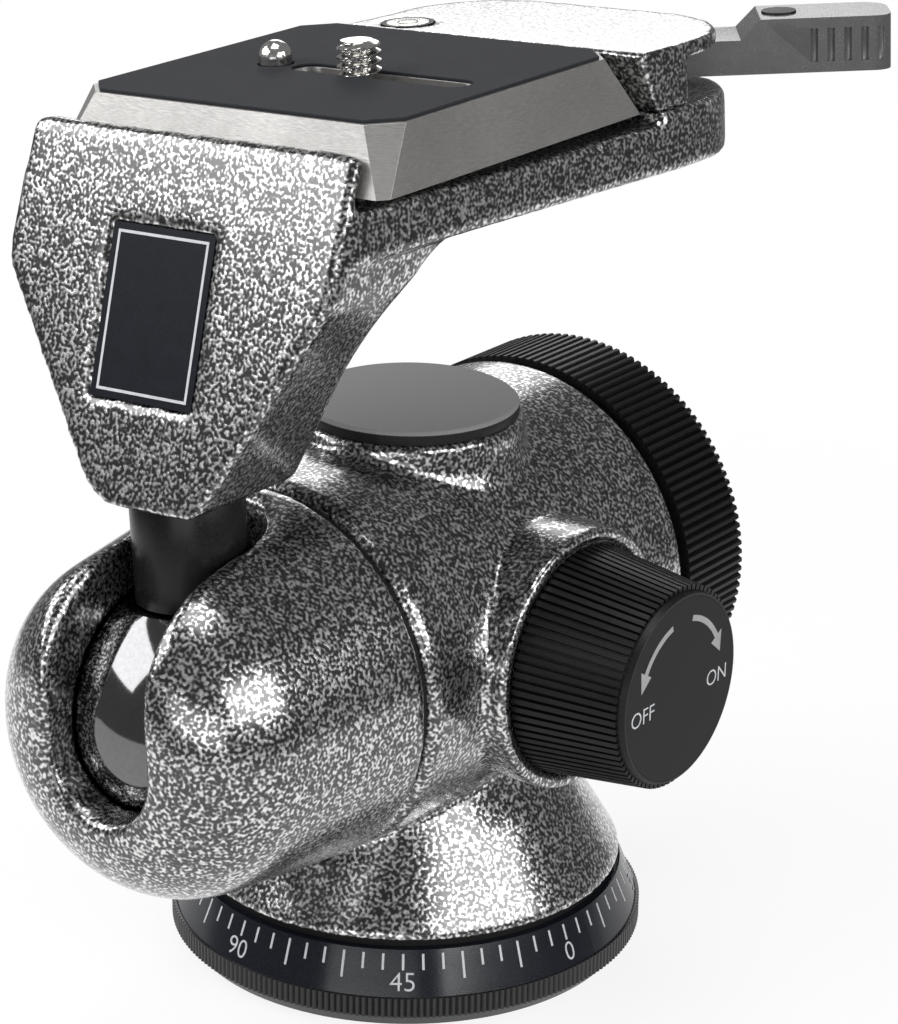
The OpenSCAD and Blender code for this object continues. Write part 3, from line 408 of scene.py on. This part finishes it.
def lens_glass():
    finish = Finish("lens", Base_Color=(0.93, 0.97, 0.9, 1), IOR=1.25, Transmission_Weight=1.0)
    haze = finish.noise(HAZE_SIZE)
    finish.rough(finish.spread(haze, low=0.02, high=0.08))
    finish.bump(haze, HAZE_DEPTH)
    return finish.material


DIAL_TOP = Vector((33.6, 0, 11.9)) * MM
DIAL_FOOT = Vector((36.3, 0, 5.4)) * MM
SPECKLED = {
    # dark tone, light tone, grain in mm, roughness at both tones, depth in mm, the shader's other values
    "black_anodised": ((0.004, 0.0045, 0.007), (0.011, 0.013, 0.021), 0.2, (0.13, 0.20), 0.003,
                       {"Specular_IOR_Level": 0.40}),
    "steel": (grey(0.34), grey(0.55), 0.6, (0.22, 0.38), 0.01, {"Metallic": 1.0}),
    "dark_screws": (grey(0.03), grey(0.08), 0.4, (0.28, 0.45), 0.01, {"Metallic": 0.8}),
    "bright_steel": ((0.62, 0.61, 0.59), (0.82, 0.81, 0.79), 0.5, (0.10, 0.18), 0.001, {"Metallic": 1.0}),
    "bronze": ((0.30, 0.17, 0.06), (0.46, 0.29, 0.12), 0.5, (0.28, 0.42), 0.01, {"Metallic": 0.9}),
    "black_plastic": (grey(0.003), grey(0.008), 0.22, (0.34, 0.50), 0.012, {"Specular_IOR_Level": 0.25}),
    "cap_plastic": (grey(0.008), grey(0.014), 0.25, (0.36, 0.50), 0.008, {"Specular_IOR_Level": 0.1}),
    "grey_plastic": (grey(0.06), grey(0.082), 0.25, (0.20, 0.30), 0.012, {"Specular_IOR_Level": 0.8}),
    "ball_finish": ((0.155, 0.155, 0.158), (0.185, 0.185, 0.190), 0.6, (0.06, 0.10), 0.0003,
                    {"Metallic": 1.0}),
    "stem_finish": (grey(0.004), grey(0.010), 0.3, (0.24, 0.36), 0.004, {"Specular_IOR_Level": 0.25}),
    "pad_rubber": ((0.021, 0.022, 0.025), (0.034, 0.035, 0.040), 0.35, (0.62, 0.85), 0.04,
                   {"Specular_IOR_Level": 0.08}),
    "seal_rubber": (grey(0.004), grey(0.009), 0.3, (0.5, 0.7), 0.02, {"Specular_IOR_Level": 0.2}),
    "badge": ((0.005, 0.006, 0.009), (0.010, 0.012, 0.017), 0.3, (0.34, 0.46), 0.004,
              {"Specular_IOR_Level": 0.1}),
    "fluid": ((0.03, 0.06, 0.008), (0.05, 0.09, 0.012), 1.5, (0.05, 0.12), 0.002, {}),
    "bubble": ((0.30, 0.40, 0.12), (0.42, 0.50, 0.20), 0.8, (0.06, 0.14), 0.001, {}),
    "marks": ((0.40, 0.41, 0.43), (0.56, 0.57, 0.59), 0.2, (0.40, 0.60), 0.01, {}),
    "arrow_grey": (grey(0.24), grey(0.34), 0.2, (0.40, 0.60), 0.01, {}),
}
BRUSHED = ((0.19, 0.185, 0.18), (0.33, 0.325, 0.315), 1.2, (0.42, 0.30), 0.02, {"Metallic": 0.6})
BRUSHED_STREAK = (1, 1, 18)
MATERIALS = {name: speckled(name, *row) for name, row in SPECKLED.items()}
MATERIALS["brushed_alu"] = speckled("brushed_alu", *BRUSHED, stretch=BRUSHED_STREAK)
MATERIALS["hammertone"] = hammertone()
MATERIALS["lens"] = lens_glass()
MATERIALS["cap_top"] = cap_top()
MATERIALS["dial_and_rim"] = dial_and_rim()
OWN_FINISH = {"top_cap": "cap_top", "base": "dial_and_rim"}
# node and the width of its broken edges in millimetres
BROKEN_EDGES = {"quick_plate": 0.35, "rubber_pad": 0.15, "lever": 0.35, "top_cap": 0.2,
                "pan_knob_cap": 0.2, "lock_knob_cap": 0.3, "safety_button": 0.25, "stem": 0.2}
EDGE_ANGLE = math.radians(35)
WELD_REACH = 0.002 * MM


def dress_nodes():
    """Gives every CAD node its own finish, or else its slot's material."""
    slots = {p["node"]: p["material_slot"] for p in frame["record"]["subparts"]}
    for name, obj in NODES.items():
        obj.data.materials.clear()
        obj.data.materials.append(MATERIALS[OWN_FINISH.get(name, slots[name])])


def break_edges():
    """Takes the sharpness off the pieces whose edges catch the light."""
    for name, width in BROKEN_EDGES.items():
        weld = NODES[name].modifiers.new("weld", "WELD")
        weld.merge_threshold = WELD_REACH
        bevel = NODES[name].modifiers.new("edges", "BEVEL")
        bevel.width = width * MM
        bevel.segments = 2
        bevel.limit_method = "ANGLE"
        bevel.angle_limit = EDGE_ANGLE
        bevel.harden_normals = True


# Dial on the base
DIAL_ZERO = math.radians(81.9)
TICK_STEP = 5
LONG_TICK_STEP = 15
NUMBER_STEP = 45
TICK_W = 0.36 * MM
TICK_START = 0.6 * MM
TICK_SHORT = 2.4 * MM
TICK_LONG = 4.0 * MM
MARK_RISE = 0.03 * MM
NUMBER_H = 2.8 * MM
NUMBER_AT = 4.9 * MM


def dial_frame(degrees, along):
    """Frame on the dial's cone at a scale reading: X to the right, Y up the cone, Z outwards."""
    slope = (DIAL_TOP - DIAL_FOOT).normalized()
    spot = DIAL_TOP - slope * along
    turn = DIAL_ZERO - math.radians(degrees) - math.pi / 2
    right = Vector((0, 1, 0))
    axes = Matrix((right, slope, right.cross(slope))).transposed().to_4x4()
    return Matrix.Rotation(turn, 4, "Z") @ Matrix.Translation(spot) @ axes


def bar(bm, place, size):
    """A thin flat bar whose top edge starts at a frame's origin and runs down its Y."""
    w, length, rise = size
    corners = [(-w / 2, 0), (-w / 2, -length), (w / 2, -length), (w / 2, 0)]
    low = [bm.verts.new(place @ Vector((x, y, -rise))) for x, y in corners]
    top = [bm.verts.new(place @ Vector((x, y, rise))) for x, y in corners]
    bm.faces.new(top)
    bm.faces.new(reversed(low))
    for i in range(4):
        j = (i + 1) % 4
        bm.faces.new((low[i], low[j], top[j], top[i]))


CAPITAL_SHARE = 0.69
THINNING = 0.012


def lettering(name, words, height, place):
    """Words as a thin raised mesh, centred on a frame."""
    curve = bpy.data.curves.new(name, "FONT")
    curve.body = words
    curve.align_x = "CENTER"
    curve.align_y = "CENTER"
    curve.size = height / CAPITAL_SHARE
    curve.extrude = MARK_RISE
    curve.offset = -THINNING * height
    text = new_object(name + "_text", curve)
    mesh = evaluated_copy(text, name)
    bpy.data.objects.remove(text)
    mesh.transform(place)
    return mesh


def put_on(name, mesh, body, material):
    """Makes a mesh a piece: its finish and the body that carries it."""
    mesh.materials.clear()
    mesh.materials.append(MATERIALS[material])
    piece = new_object(name, mesh)
    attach(piece, body)
    return piece


def dial():
    bm = bmesh.new()
    for reading in range(0, 360, TICK_STEP):
        numbered = reading % NUMBER_STEP == 0
        long_tick = reading % LONG_TICK_STEP == 0 and not numbered
        length = TICK_LONG if long_tick else TICK_SHORT
        bar(bm, dial_frame(reading, TICK_START), (TICK_W, length, MARK_RISE))
    put_on("dial_ticks", finished("dial_ticks", bm), "base", "marks")
    for reading in range(0, 360, NUMBER_STEP):
        name = "dial_number_%d" % reading
        mesh = lettering(name, str(reading), NUMBER_H, dial_frame(reading, NUMBER_AT))
        put_on(name, mesh, "base", "marks")


# Face of the pan knob
ARROW_R = 10.6 * MM
ARROW_W = 0.9 * MM
# angles from the top of the face, in degrees
ARROW_FROM = 14
ARROW_TO = 60
ARROW_TIP = 76
ARROW_STEP = 2
ARROW_HEAD_W = 3.0 * MM
WORD_H = 2.4 * MM
WORD_AT = Vector((9.7, -1.2, 0)) * MM


def knob_face():
    """Frame on the knob's end face: X to the right, Y up, Z out of the knob."""
    lo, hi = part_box("pan_knob_cap")
    centre = Vector((hi.x, (lo.y + hi.y) / 2, (lo.z + hi.z) / 2))
    axes = Matrix((Vector((0, 1, 0)), Vector((0, 0, 1)), Vector((1, 0, 0)))).transposed().to_4x4()
    return Matrix.Translation(centre) @ axes


def on_circle(radius, degrees, side):
    """Point at an angle from the top of the face, to the left (-1) or right (1)."""
    a = math.radians(degrees)
    return Vector((side * radius * math.sin(a), radius * math.cos(a), 0))


def arrow_outline(side):
    steps = range(ARROW_FROM, ARROW_TO + 1, ARROW_STEP)
    outer = [on_circle(ARROW_R + ARROW_W / 2, a, side) for a in steps]
    inner = [on_circle(ARROW_R - ARROW_W / 2, a, side) for a in reversed(steps)]
    head = [on_circle(ARROW_R + ARROW_HEAD_W / 2, ARROW_TO, side), on_circle(ARROW_R, ARROW_TIP, side),
            on_circle(ARROW_R - ARROW_HEAD_W / 2, ARROW_TO, side)]
    outline = outer + head + inner
    return outline if side < 0 else outline[::-1]


def knob_marks():
    place = knob_face()
    for side, word in ((-1, "OFF"), (1, "ON")):
        outline = arrow_outline(side)
        count = len(outline)
        rise = Vector((0, 0, MARK_RISE))
        verts = [place @ (p - rise) for p in outline] + [place @ (p + rise) for p in outline]
        walls = [(i, (i + 1) % count, count + (i + 1) % count, count + i) for i in range(count)]
        faces = [tuple(range(count - 1, -1, -1)), tuple(range(count, 2 * count))] + walls
        mesh = mesh_from("arrow_" + word, verts, faces)
        put_on("arrow_" + word, mesh, "pan_knob", "arrow_grey")
        spot = Matrix.Translation(Vector((side * WORD_AT.x, WORD_AT.y, 0)))
        mesh = lettering("word_" + word, word, WORD_H, place @ spot)
        put_on("word_" + word, mesh, "pan_knob", "marks")


# Plain border on the bare name plate
FACE_LEAN = math.radians(18.3)
BADGE_W = 18.4 * MM
BADGE_L = 24.2 * MM
BADGE_H = 0.8 * MM
BORDER_INSET = 1.0 * MM
BORDER_W = 0.4 * MM


def badge_border():
    """Four thin bars round the plate's face, which carries nothing else."""
    low, high = local_box("name_plate")
    lean = Matrix.Rotation(math.pi / 2 - FACE_LEAN, 4, "X")
    place = BRACKET @ Matrix.Translation((low + high) / 2) @ lean
    x, y = BADGE_W / 2 - BORDER_INSET, BADGE_L / 2 - BORDER_INSET
    bm = bmesh.new()
    for spin, out, half in ((0, x, y), (90, y, x - BORDER_W), (180, x, y), (270, y, x - BORDER_W)):
        side = place @ Matrix.Rotation(math.radians(spin), 4, "Z")
        spot = Matrix.Translation((out - BORDER_W / 2, half, BADGE_H / 2))
        bar(bm, side @ spot, (BORDER_W, 2 * half, MARK_RISE))
    put_on("badge_border", finished("badge_border", bm), "platform", "marks")


# Ring and bubble of the level
RING_R = 1.5 * MM
RING_W = 0.22 * MM
BUBBLE_R = 1.1 * MM
BUBBLE_H = 0.045 * MM
BUBBLE_OFF = Vector((0.35, 0.25, -0.05)) * MM
BUBBLE_RINGS = 6


def level_marks():
    """Black centring ring on the lens, and the bubble that floats under it."""
    low, high = local_box("level_lens")
    middle = (low + high) / 2
    outer, inner = RING_R + RING_W / 2, RING_R - RING_W / 2
    section = [(inner, MARK_RISE), (outer, MARK_RISE), (outer, -MARK_RISE), (inner, -MARK_RISE)]
    bm = bmesh.new()
    top = Matrix.Translation(Vector((middle.x, middle.y, high.z)))
    lathe(bm, section[::-1] + section[-1:], SIDES, BRACKET @ top, ends=False)
    put_on("level_ring", finished("level_ring", bm), "platform", "cap_plastic")
    bm = bmesh.new()
    steps = [math.pi / 2 * i / BUBBLE_RINGS for i in range(BUBBLE_RINGS)]
    dome = [(BUBBLE_R * math.cos(a), BUBBLE_H * math.sin(a)) for a in steps]
    under = Matrix.Translation(Vector((middle.x, middle.y, low.z)) + BUBBLE_OFF)
    lathe(bm, dome, SIDES, BRACKET @ under)
    put_on("level_bubble", finished("level_bubble", bm), "platform", "bubble")


# Camera screw with a real thread
SCREW_HEAD_R = 5.5 * MM
SCREW_NECK_R = 2.35 * MM
THREAD_R = 3.175 * MM
THREAD_DEPTH = 0.78 * MM
THREAD_PITCH = 1.27 * MM
# shape of one turn: how far it overfills at the crest, and how steeply its flanks fall
CREST_FILL = 1.35
FLANK_FALL = 3.1
SCREW_HEAD_H = 3.3 * MM
SCREW_EDGE = 0.4 * MM
PAD_GAP = 0.02 * MM
THREAD_TIP = 0.6 * MM
ROWS_PER_TURN = 20


def thread_radius(height, top, angle):
    """Radius of a V thread at a height and angle, with a flat crest and root and a tapered tip."""
    phase = (height / THREAD_PITCH - angle / (2 * math.pi)) % 1
    rise = min(1, max(0, CREST_FILL - FLANK_FALL * abs(phase - 0.5)))
    tip = max(0, height - (top - THREAD_TIP))
    return THREAD_R - THREAD_DEPTH * (1 - rise) - tip


def camera_screw():
    box_low, box_high = local_box("camera_screw")
    middle = (box_low + box_high) / 2
    place = BRACKET @ Matrix.Translation(Vector((middle.x, middle.y, 0)))
    low, top = box_low.z, box_high.z
    high = low + SCREW_HEAD_H
    start = local_box("rubber_pad")[1].z + PAD_GAP
    bm = bmesh.new()
    head = [(SCREW_HEAD_R - SCREW_EDGE, low), (SCREW_HEAD_R, low + SCREW_EDGE), (SCREW_HEAD_R, high)]
    lathe(bm, head, SIDES, place)
    lathe(bm, [(SCREW_NECK_R, high - PAD_GAP), (SCREW_NECK_R, start + PAD_GAP)], SIDES, place)
    rows = int((top - start) / THREAD_PITCH * ROWS_PER_TURN)
    heights = [start + (top - start) * i / rows for i in range(rows + 1)]
    lathe(bm, [(lambda a, h=h: thread_radius(h, top, a), h) for h in heights], SIDES, place)
    piece = put_on("camera_screw_thread", finished("camera_screw_thread", bm), "camera_screw",
                   "bright_steel")
    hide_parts("camera_screw")


# Springs under the pin and the button
SPRINGS = (
    # node, body that carries it, joint that presses it, turns
    ("pin_spring", "plate", "pin_press", 3),
    ("button_spring", "lever", "button_press", 1.6),
)
WIRE_R = 0.2 * MM
WIRE_SIDES = 10
RINGS_PER_TURN = 32
UP = Vector((0, 0, 1))


def spring(node, body, joint, turns):
    """A smooth coil in the place of a CAD coil."""
    low, high = local_box(node)
    foot = Vector(((low.x + high.x) / 2, (low.y + high.y) / 2, low.z))
    length = high.z - low.z
    radius = (high.x - low.x) / 2 - WIRE_R
    count = int(turns * RINGS_PER_TURN)
    bm = bmesh.new()
    rings = []
    for i in range(count + 1):
        a = 2 * math.pi * turns * i / count
        out = Vector((math.cos(a), math.sin(a), 0))
        middle = foot + radius * out + UP * (WIRE_R + (length - 2 * WIRE_R) * i / count)
        ring = []
        for k in range(WIRE_SIDES):
            b = 2 * math.pi * k / WIRE_SIDES
            point = middle + WIRE_R * (math.cos(b) * out - math.sin(b) * UP)
            ring.append(bm.verts.new(BRACKET @ point))
        rings.append(ring)
    join_rings(bm, rings, True)
    mesh = finished(node + "_coil", bm)
    mesh.shade_smooth()
    piece = put_on(node + "_coil", mesh, body, "steel")
    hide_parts(node)
    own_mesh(piece)


# Studio
PHOTO_W, PHOTO_H = 898, 1024
CAMERA_AT = Vector((290.577, -380.580, 252.486)) * MM
# angles in radians, focal length in the photograph's pixels, sensor in millimetres
CAMERA_HEADING = 0.63950
CAMERA_DOWN = 0.36679
CAMERA_ROLL = 0.013709
FOCAL_PIXELS = 3389.593
SENSOR = 36.0
CLIP_START = 0.01


def camera():
    """Camera at the photograph's place, aimed by heading, downward angle and roll."""
    level = Vector((math.cos(CAMERA_HEADING), math.sin(CAMERA_HEADING), 0))
    flat, down = math.cos(CAMERA_DOWN), math.sin(CAMERA_DOWN)
    ahead = Vector((-level.y * flat, level.x * flat, -down))
    above = level.cross(ahead)
    c, s = math.cos(CAMERA_ROLL), math.sin(CAMERA_ROLL)
    right = c * level + s * above
    up = c * above - s * level
    data = bpy.data.cameras.new("camera")
    data.sensor_width = SENSOR
    data.lens = FOCAL_PIXELS / max(PHOTO_W, PHOTO_H) * SENSOR
    data.clip_start = CLIP_START
    obj = new_object("camera", data)
    axes = Matrix((right, up, -ahead)).transposed().to_4x4()
    obj.matrix_world = Matrix.Translation(CAMERA_AT) @ axes
    bpy.context.scene.camera = obj


def seen_rays(tree, mirrored_share):
    """How white a ray finds it: fully from the camera or through glass, partly in mirrors, else not."""
    path = tree.nodes.new("ShaderNodeLightPath")
    mirrored = tree.nodes.new("ShaderNodeMath")
    mirrored.operation = "MULTIPLY"
    mirrored.inputs[1].default_value = mirrored_share
    tree.links.new(path.outputs["Is Glossy Ray"], mirrored.inputs[0])
    total = path.outputs["Is Camera Ray"]
    for seen in (mirrored.outputs[0], path.outputs["Is Transmission Ray"]):
        either = tree.nodes.new("ShaderNodeMath")
        either.operation = "MAXIMUM"
        tree.links.new(total, either.inputs[0])
        tree.links.new(seen, either.inputs[1])
        total = either.outputs[0]
    return total


WORLD_LIGHT = 0.15
WORLD_MIRRORED = 0.06
FLOOR_SIZE = 0.56
FLOOR_TONE = 0.92
FLOOR_ROUGH = 0.9
# white of the floor: the two radii in metres between which it changes, then the glow at both
FLOOR_FADE = (0.16, 0.27, 0.85, 1.0)
LAMPS = (
    # name, azimuth from the front towards +X and elevation in degrees,
    # distance, width and height in metres, watts
    ("key", 82, 23, 0.9, 0.90, 0.36, 6.0),
    ("left", -49, 34, 0.41, 0.40, 0.22, 1.4),
    ("low", 22, 4, 0.9, 0.70, 0.25, 1.5),
    ("top", 10, 84, 0.9, 0.50, 0.50, 3.5),
    ("back", 217, 24, 0.9, 0.40, 0.40, 1.2),
)
LOOK_AT = Vector((0, 0, 70)) * MM


def world():
    scene = bpy.context.scene
    scene.view_settings.view_transform = "Standard"
    scene.world = bpy.data.worlds.new("studio")
    scene.world.use_nodes = True
    tree = scene.world.node_tree
    back = next(n for n in tree.nodes if n.type == "BACKGROUND")
    back.inputs["Color"].default_value = (1, 1, 1, 1)
    light = tree.nodes.new("ShaderNodeMapRange")
    light.inputs["To Min"].default_value = WORLD_LIGHT
    light.inputs["To Max"].default_value = 1.0
    tree.links.new(seen_rays(tree, WORLD_MIRRORED), light.inputs["Value"])
    tree.links.new(light.outputs[0], back.inputs["Strength"])


def fading_glow(tree):
    """Glow of the floor: it leaves room for the object's shadow, and is plain white at the edge."""
    place = tree.nodes.new("ShaderNodeTexCoord")
    away = tree.nodes.new("ShaderNodeVectorMath")
    away.operation = "LENGTH"
    tree.links.new(place.outputs["Object"], away.inputs[0])
    glow = tree.nodes.new("ShaderNodeMapRange")
    for socket, value in zip(("From Min", "From Max", "To Min", "To Max"), FLOOR_FADE):
        glow.inputs[socket].default_value = value
    tree.links.new(away.outputs["Value"], glow.inputs["Value"])
    return glow.outputs[0]


def floor():
    """Pale table top that keeps part of the object's shadow and ends in the white background."""
    half = FLOOR_SIZE / 2
    verts = [(-half, -half, 0), (half, -half, 0), (half, half, 0), (-half, half, 0)]
    mesh = mesh_from("floor", verts, [(0, 1, 2, 3)])
    material = bpy.data.materials.new("floor_paper")
    material.use_nodes = True
    tree = material.node_tree
    shader = next(n for n in tree.nodes if n.type == "BSDF_PRINCIPLED")
    shader.inputs["Base Color"].default_value = (*grey(FLOOR_TONE), 1)
    shader.inputs["Roughness"].default_value = FLOOR_ROUGH
    glow = tree.nodes.new("ShaderNodeEmission")
    glow.inputs["Color"].default_value = (1, 1, 1, 1)
    share = tree.nodes.new("ShaderNodeMath")
    share.operation = "MULTIPLY"
    tree.links.new(seen_rays(tree, 1.0), share.inputs[0])
    tree.links.new(fading_glow(tree), share.inputs[1])
    mix = tree.nodes.new("ShaderNodeMixShader")
    tree.links.new(share.outputs[0], mix.inputs[0])
    tree.links.new(shader.outputs[0], mix.inputs[1])
    tree.links.new(glow.outputs[0], mix.inputs[2])
    out = next(n for n in tree.nodes if n.type == "OUTPUT_MATERIAL")
    tree.links.new(mix.outputs[0], out.inputs["Surface"])
    mesh.materials.append(material)
    new_object("floor", mesh)


def lamps():
    for name, azimuth, elevation, distance, width, height, watts in LAMPS:
        a, e = math.radians(azimuth), math.radians(elevation)
        way = Vector((math.sin(a) * math.cos(e), -math.cos(a) * math.cos(e), math.sin(e)))
        data = bpy.data.lights.new(name, "AREA")
        data.shape = "RECTANGLE"
        data.size = width
        data.size_y = height
        data.energy = watts
        lamp = new_object("lamp_" + name, data)
        lamp.visible_camera = False
        lamp.location = LOOK_AT + way * distance
        lamp.rotation_euler = (-way).to_track_quat("-Z", "Y").to_euler()


# The whole scene
dress_nodes()
break_edges()
for row in CASTINGS:
    rounded_casting(*row)
dial()
knob_marks()
badge_border()
level_marks()
camera_screw()
for row in SPRINGS:
    spring(*row)
world()
floor()
lamps()
camera()
